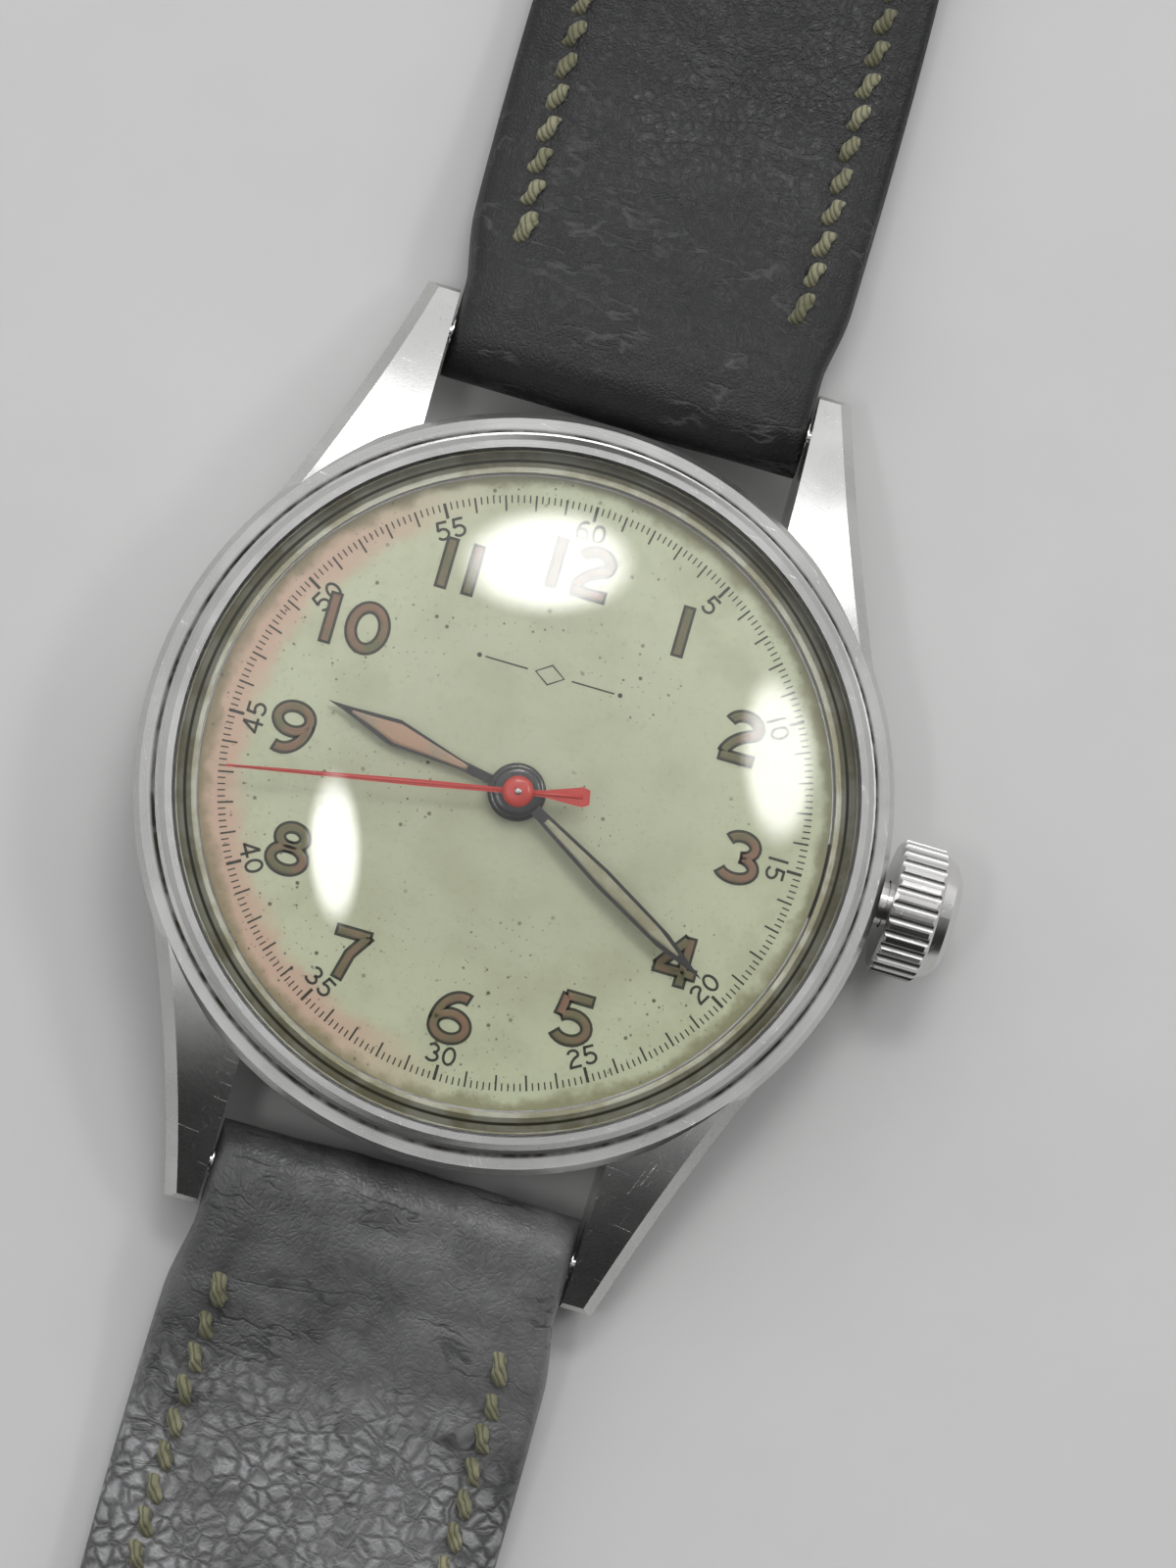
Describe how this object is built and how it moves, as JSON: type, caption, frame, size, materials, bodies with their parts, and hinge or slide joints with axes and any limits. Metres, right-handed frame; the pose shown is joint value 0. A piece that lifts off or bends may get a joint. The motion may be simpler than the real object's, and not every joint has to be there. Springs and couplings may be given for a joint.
{
  "type": "mechanical wristwatch",
  "caption": "Round steel hand-wound wristwatch with centre seconds, domed crystal, fluted crown, lugs and an open two-piece leather strap with a pin buckle.",
  "frame": {"origin": "centre of the case back's flat outer face", "axes": "+X to 3 o'clock and the crown, +Y to 12 o'clock along the open strap, +Z out through the dial and crystal"},
  "size_m": [0.0356, 0.2355, 0.0104],
  "materials": {
    "case_steel": "brushed, worn",
    "polished_steel": "polished",
    "crystal": "clear dome",
    "gasket": "matt",
    "dial": "aged pale green cream, printed",
    "hand_black": "black with pale lume",
    "hand_red": "red lacquer",
    "leather": "dark pebbled leather",
    "thread": "waxed cream thread",
    "nickel": "nickel plated",
    "blued_screw": "blued",
    "ruby": "polished ruby",
    "spring_steel": "ground steel",
    "brass": "brushed"
  },
  "bodies": {
    "watch_head": {"case_middle": "case_steel", "bezel": "case_steel", "crystal": "crystal", "case_back": "case_steel", "case_gasket": "gasket", "crown_tube": "polished_steel", "spring_bar_12": "polished_steel", "spring_bar_6": "polished_steel", "movement_ring": "case_steel", "mainplate": "nickel", "barrel_bridge": "nickel", "train_bridge": "nickel", "balance_cock": "nickel", "pallet_bridge": "nickel", "movement_screws": "blued_screw", "jewels": "ruby", "casing_screws": "blued_screw", "dial": "dial", "dial_foot_screws": "blued_screw", "hairspring": "spring_steel", "click_spring": "spring_steel", "click_screw": "blued_screw", "setting_bridge": "nickel"},
    "barrel": {"barrel_drum": "brass", "barrel_cover": "brass", "mainspring": "spring_steel"},
    "arbor": {"barrel_arbor": "spring_steel", "ratchet_wheel": "spring_steel"},
    "crown_wheel_body": {"crown_wheel": "spring_steel"},
    "stem_rotor": {"winding_pinion": "spring_steel"},
    "crown_body": {"crown": "polished_steel", "winding_stem": "spring_steel"},
    "clutch": {"sliding_pinion": "spring_steel"},
    "lever_body": {"setting_lever": "spring_steel"},
    "yoke_body": {"yoke": "spring_steel"},
    "click_body": {"click": "spring_steel"},
    "seconds": {"fourth_wheel": "brass", "seconds_hand": "hand_red"},
    "third": {"third_wheel": "brass"},
    "centre": {"centre_wheel": "brass"},
    "escape": {"escape_wheel": "spring_steel"},
    "pallets": {"pallet_fork": "spring_steel"},
    "balance": {"balance_wheel": "brass"},
    "regulator_body": {"regulator": "spring_steel"},
    "minutes": {"cannon_pinion": "brass", "minute_hand": "hand_black"},
    "hours": {"hour_wheel": "brass", "hour_hand": "hand_black"},
    "minute_works": {"minute_wheel": "spring_steel"},
    "setting": {"setting_wheel": "spring_steel"},
    "strap_12_body": {"strap_12": "leather", "stitches_12": "thread", "fixed_keeper": "leather"},
    "strap_6_body": {"strap_6": "leather", "stitches_6": "thread"},
    "free_keeper_body": {"free_keeper": "leather"},
    "buckle": {"buckle_frame": "polished_steel", "buckle_bar": "polished_steel"},
    "tongue": {"buckle_tongue": "polished_steel"}
  },
  "joints": [
    {"name": "strap_12_swing", "type": "hinge", "parent": "watch_head", "child": "strap_12_body", "pos_m": [0, 0.0183, 0.003], "axis": [1, 0, 0], "range_deg": [-75, 80]},
    {"name": "strap_6_swing", "type": "hinge", "parent": "watch_head", "child": "strap_6_body", "pos_m": [0, -0.0183, 0.003], "axis": [-1, 0, 0], "range_deg": [-75, 80]},
    {"name": "buckle_swing", "type": "hinge", "parent": "strap_12_body", "child": "buckle", "pos_m": [0, 0.0935, 0.00235], "axis": [1, 0, 0], "range_deg": [-40, 60]},
    {"name": "tongue_swing", "type": "hinge", "parent": "buckle", "child": "tongue", "pos_m": [0, 0.0935, 0.00235], "axis": [1, 0, 0], "range_deg": [0, 70]},
    {"name": "free_keeper_slide", "type": "slide", "parent": "strap_12_body", "child": "free_keeper_body", "axis": [0, 1, 0], "range_m": [-0.008, 0.006]},
    {"name": "crown_turn", "type": "hinge", "parent": "watch_head", "child": "stem_rotor", "pos_m": [0.0097, 0, 0.0036], "axis": [1, 0, 0], "continuous": true},
    {"name": "crown_pull", "type": "slide", "parent": "stem_rotor", "child": "crown_body", "axis": [1, 0, 0], "range_m": [0, 0.0007]},
    {"name": "clutch_slide", "type": "slide", "parent": "stem_rotor", "child": "clutch", "axis": [1, 0, 0], "range_m": [-0.0004, 0]},
    {"name": "setting_lever_turn", "type": "hinge", "parent": "watch_head", "child": "lever_body", "pos_m": [0.01045, 0.003, 0.00535], "axis": [0, 0, 1], "range_deg": [0, 13.35]},
    {"name": "yoke_turn", "type": "hinge", "parent": "watch_head", "child": "yoke_body", "pos_m": [0.007, 0.0034, 0.00535], "axis": [0, 0, 1], "range_deg": [-6.8, 0]},
    {"name": "crown_wheel_turn", "type": "hinge", "parent": "watch_head", "child": "crown_wheel_body", "pos_m": [0.007, 0, 0.0013], "axis": [0, 0, 1], "continuous": true},
    {"name": "ratchet_turn", "type": "hinge", "parent": "watch_head", "child": "arbor", "pos_m": [0.00257, 0.00475, 0.0013], "axis": [0, 0, 1], "continuous": true},
    {"name": "click_lift", "type": "hinge", "parent": "watch_head", "child": "click_body", "pos_m": [0.00715, 0.00796, 0.0013], "axis": [0, 0, -1], "range_deg": [0, 8]},
    {"name": "seconds_run", "type": "hinge", "parent": "watch_head", "child": "seconds", "pos_m": [0, 0, 0.0022], "axis": [0, 0, -1], "continuous": true},
    {"name": "third_run", "type": "hinge", "parent": "watch_head", "child": "third", "pos_m": [-0.00443, -0.00078, 0.0025], "axis": [0, 0, -1], "continuous": true},
    {"name": "centre_run", "type": "hinge", "parent": "watch_head", "child": "centre", "pos_m": [0, 0, 0.0028], "axis": [0, 0, -1], "continuous": true},
    {"name": "barrel_run", "type": "hinge", "parent": "watch_head", "child": "barrel", "pos_m": [0.00257, 0.00475, 0.0032], "axis": [0, 0, -1], "continuous": true},
    {"name": "escape_run", "type": "hinge", "parent": "watch_head", "child": "escape", "pos_m": [0.00292, -0.00348, 0.0031], "axis": [0, 0, -1], "continuous": true},
    {"name": "pallet_rock", "type": "hinge", "parent": "watch_head", "child": "pallets", "pos_m": [0.00145, -0.00527, 0.0031], "axis": [0, 0, -1], "range_deg": [-5, 5]},
    {"name": "balance_swing", "type": "hinge", "parent": "watch_head", "child": "balance", "pos_m": [-0.00069, -0.00787, 0.002], "axis": [0, 0, -1], "range_deg": [-270, 270], "stiffness_Nm_per_rad": 0.0000003},
    {"name": "regulator_shift", "type": "hinge", "parent": "watch_head", "child": "regulator_body", "pos_m": [-0.00069, -0.00787, 0.001], "axis": [0, 0, -1], "range_deg": [-20, 20]},
    {"name": "hands_set", "type": "hinge", "parent": "watch_head", "child": "minutes", "pos_m": [0, 0, 0.0054], "axis": [0, 0, -1], "continuous": true},
    {"name": "hour_run", "type": "hinge", "parent": "watch_head", "child": "hours", "pos_m": [0, 0, 0.0058], "axis": [0, 0, -1], "continuous": true},
    {"name": "minute_wheel_run", "type": "hinge", "parent": "watch_head", "child": "minute_works", "pos_m": [0.00226, -0.00082, 0.0054], "axis": [0, 0, -1], "continuous": true},
    {"name": "setting_wheel_run", "type": "hinge", "parent": "watch_head", "child": "setting", "pos_m": [0.00501, -0.0003, 0.0054], "axis": [0, 0, -1], "continuous": true}
  ],
  "couplings": [
    {"joint": "third_run", "follows": "seconds_run", "ratio": -0.13333},
    {"joint": "centre_run", "follows": "seconds_run", "ratio": 0.016667},
    {"joint": "barrel_run", "follows": "seconds_run", "ratio": -0.0020833},
    {"joint": "escape_run", "follows": "seconds_run", "ratio": -10},
    {"joint": "hour_run", "follows": "hands_set", "ratio": 0.083333},
    {"joint": "minute_wheel_run", "follows": "hands_set", "ratio": -0.33333},
    {"joint": "setting_wheel_run", "follows": "hands_set", "ratio": 0.6},
    {"joint": "crown_wheel_turn", "follows": "crown_turn", "ratio": 0.88},
    {"joint": "ratchet_turn", "follows": "crown_turn", "ratio": -0.55},
    {"joint": "clutch_slide", "follows": "crown_pull", "ratio": -0.57143},
    {"joint": "setting_lever_turn", "follows": "crown_pull", "rad_per_m": 327.87},
    {"joint": "yoke_turn", "follows": "crown_pull", "rad_per_m": -164.61}
  ]
}
